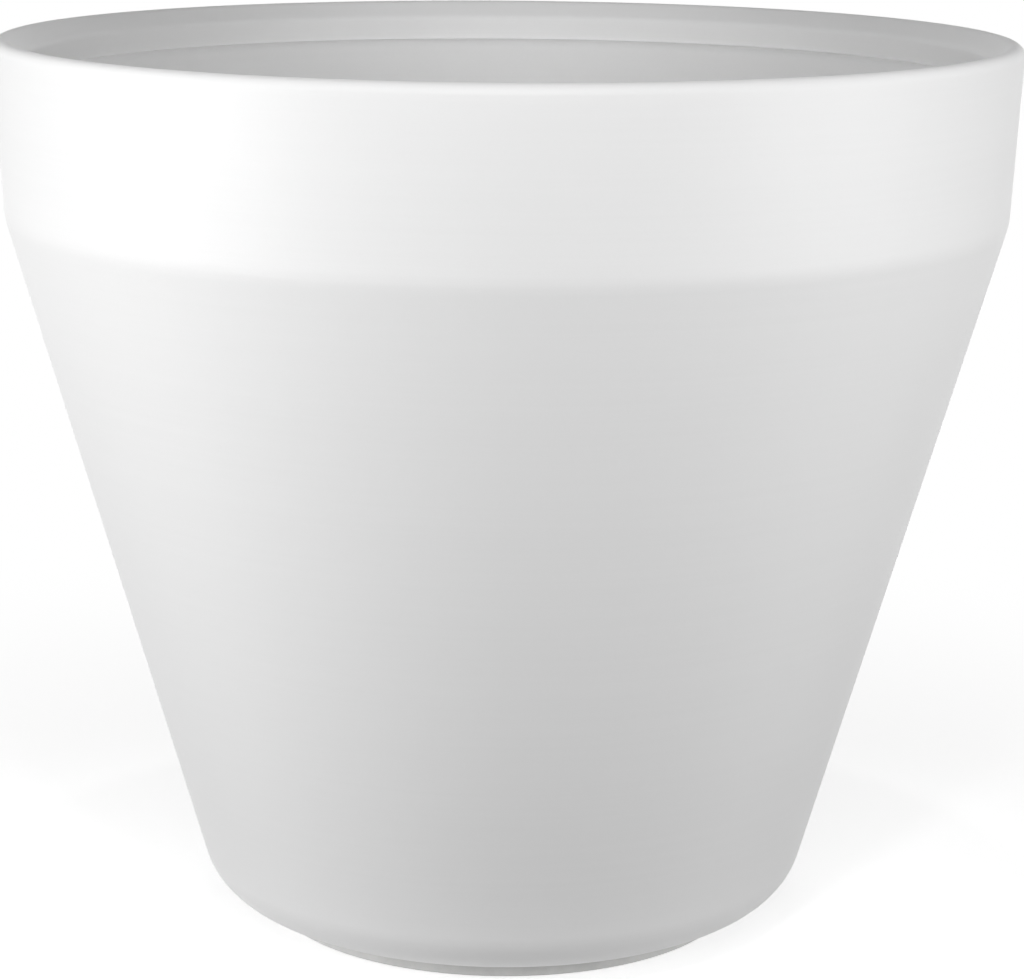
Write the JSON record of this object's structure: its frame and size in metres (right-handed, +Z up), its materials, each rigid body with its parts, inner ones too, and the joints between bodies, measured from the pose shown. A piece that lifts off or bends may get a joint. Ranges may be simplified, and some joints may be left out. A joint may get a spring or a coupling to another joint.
{
  "type": "self-watering planter",
  "caption": "Round tapered planter with a collared rim on a foot ring; a growing pot with swing handles, wicks, float gauge and filling tube lifts out of it.",
  "frame": {"origin": "centre of the underside of the foot ring", "axes": "+Z up along the planter's axis, -Y towards the front, where the float gauge and filling tube are, +X to the right seen from the front"},
  "size_m": [0.4, 0.4, 0.354],
  "materials": {
    "shell_plastic": "satin white moulded plastic with faint turned lines",
    "foot_rubber": "matt off-white rubber",
    "plug_plastic": "matt dark grey plastic",
    "seal_rubber": "matt black rubber",
    "liner_plastic": "matt off-white moulded plastic",
    "handle_plastic": "satin grey moulded plastic",
    "pin_steel": "drawn stainless steel",
    "wick_felt": "pressed grey-brown felt",
    "tube_plastic": "satin pale grey tube",
    "clear_plastic": "clear moulded plastic",
    "float_foam": "closed-cell foam",
    "flag_plastic": "gloss red plastic",
    "lid_plastic": "satin grey moulded plastic"
  },
  "bodies": {
    "outer_pot": {"planter_shell": "shell_plastic", "foot_ring": "foot_rubber"},
    "drain_plug": {"drain_plug": "plug_plastic", "drain_seal": "seal_rubber"},
    "growing_pot": {"liner": "liner_plastic", "handle_pins": "pin_steel", "wicks": "wick_felt", "gauge_tube": "tube_plastic", "gauge_cap": "clear_plastic", "filler_tube": "tube_plastic", "filler_lid_pin": "pin_steel"},
    "left_handle": {"handle_left": "handle_plastic"},
    "right_handle": {"handle_right": "handle_plastic"},
    "float": {"gauge_float": "float_foam", "gauge_rod": "pin_steel", "gauge_flag": "flag_plastic"},
    "filler_lid": {"filler_lid": "lid_plastic"}
  },
  "joints": [
    {"name": "liner_lift", "type": "slide", "parent": "outer_pot", "child": "growing_pot", "axis": [0, 0, 1], "range_m": [0, 0.345]},
    {"name": "drain_plug_out", "type": "slide", "parent": "outer_pot", "child": "drain_plug", "axis": [0, 0, -1], "range_m": [0, 0.018]},
    {"name": "handle_left_swing", "type": "hinge", "parent": "growing_pot", "child": "left_handle", "pos_m": [-0.15102, 0, 0.3218], "axis": [0, -1, 0], "range_deg": [0, 210]},
    {"name": "handle_right_swing", "type": "hinge", "parent": "growing_pot", "child": "right_handle", "pos_m": [0.15102, 0, 0.3218], "axis": [0, 1, 0], "range_deg": [0, 210]},
    {"name": "float_rise", "type": "slide", "parent": "growing_pot", "child": "float", "axis": [0, 0, 1], "range_m": [0, 0.034]},
    {"name": "filler_lid_swing", "type": "hinge", "parent": "growing_pot", "child": "filler_lid", "pos_m": [0.04988, -0.0563, 0.3196], "axis": [-1, 0, 0], "range_deg": [0, 110]}
  ]
}
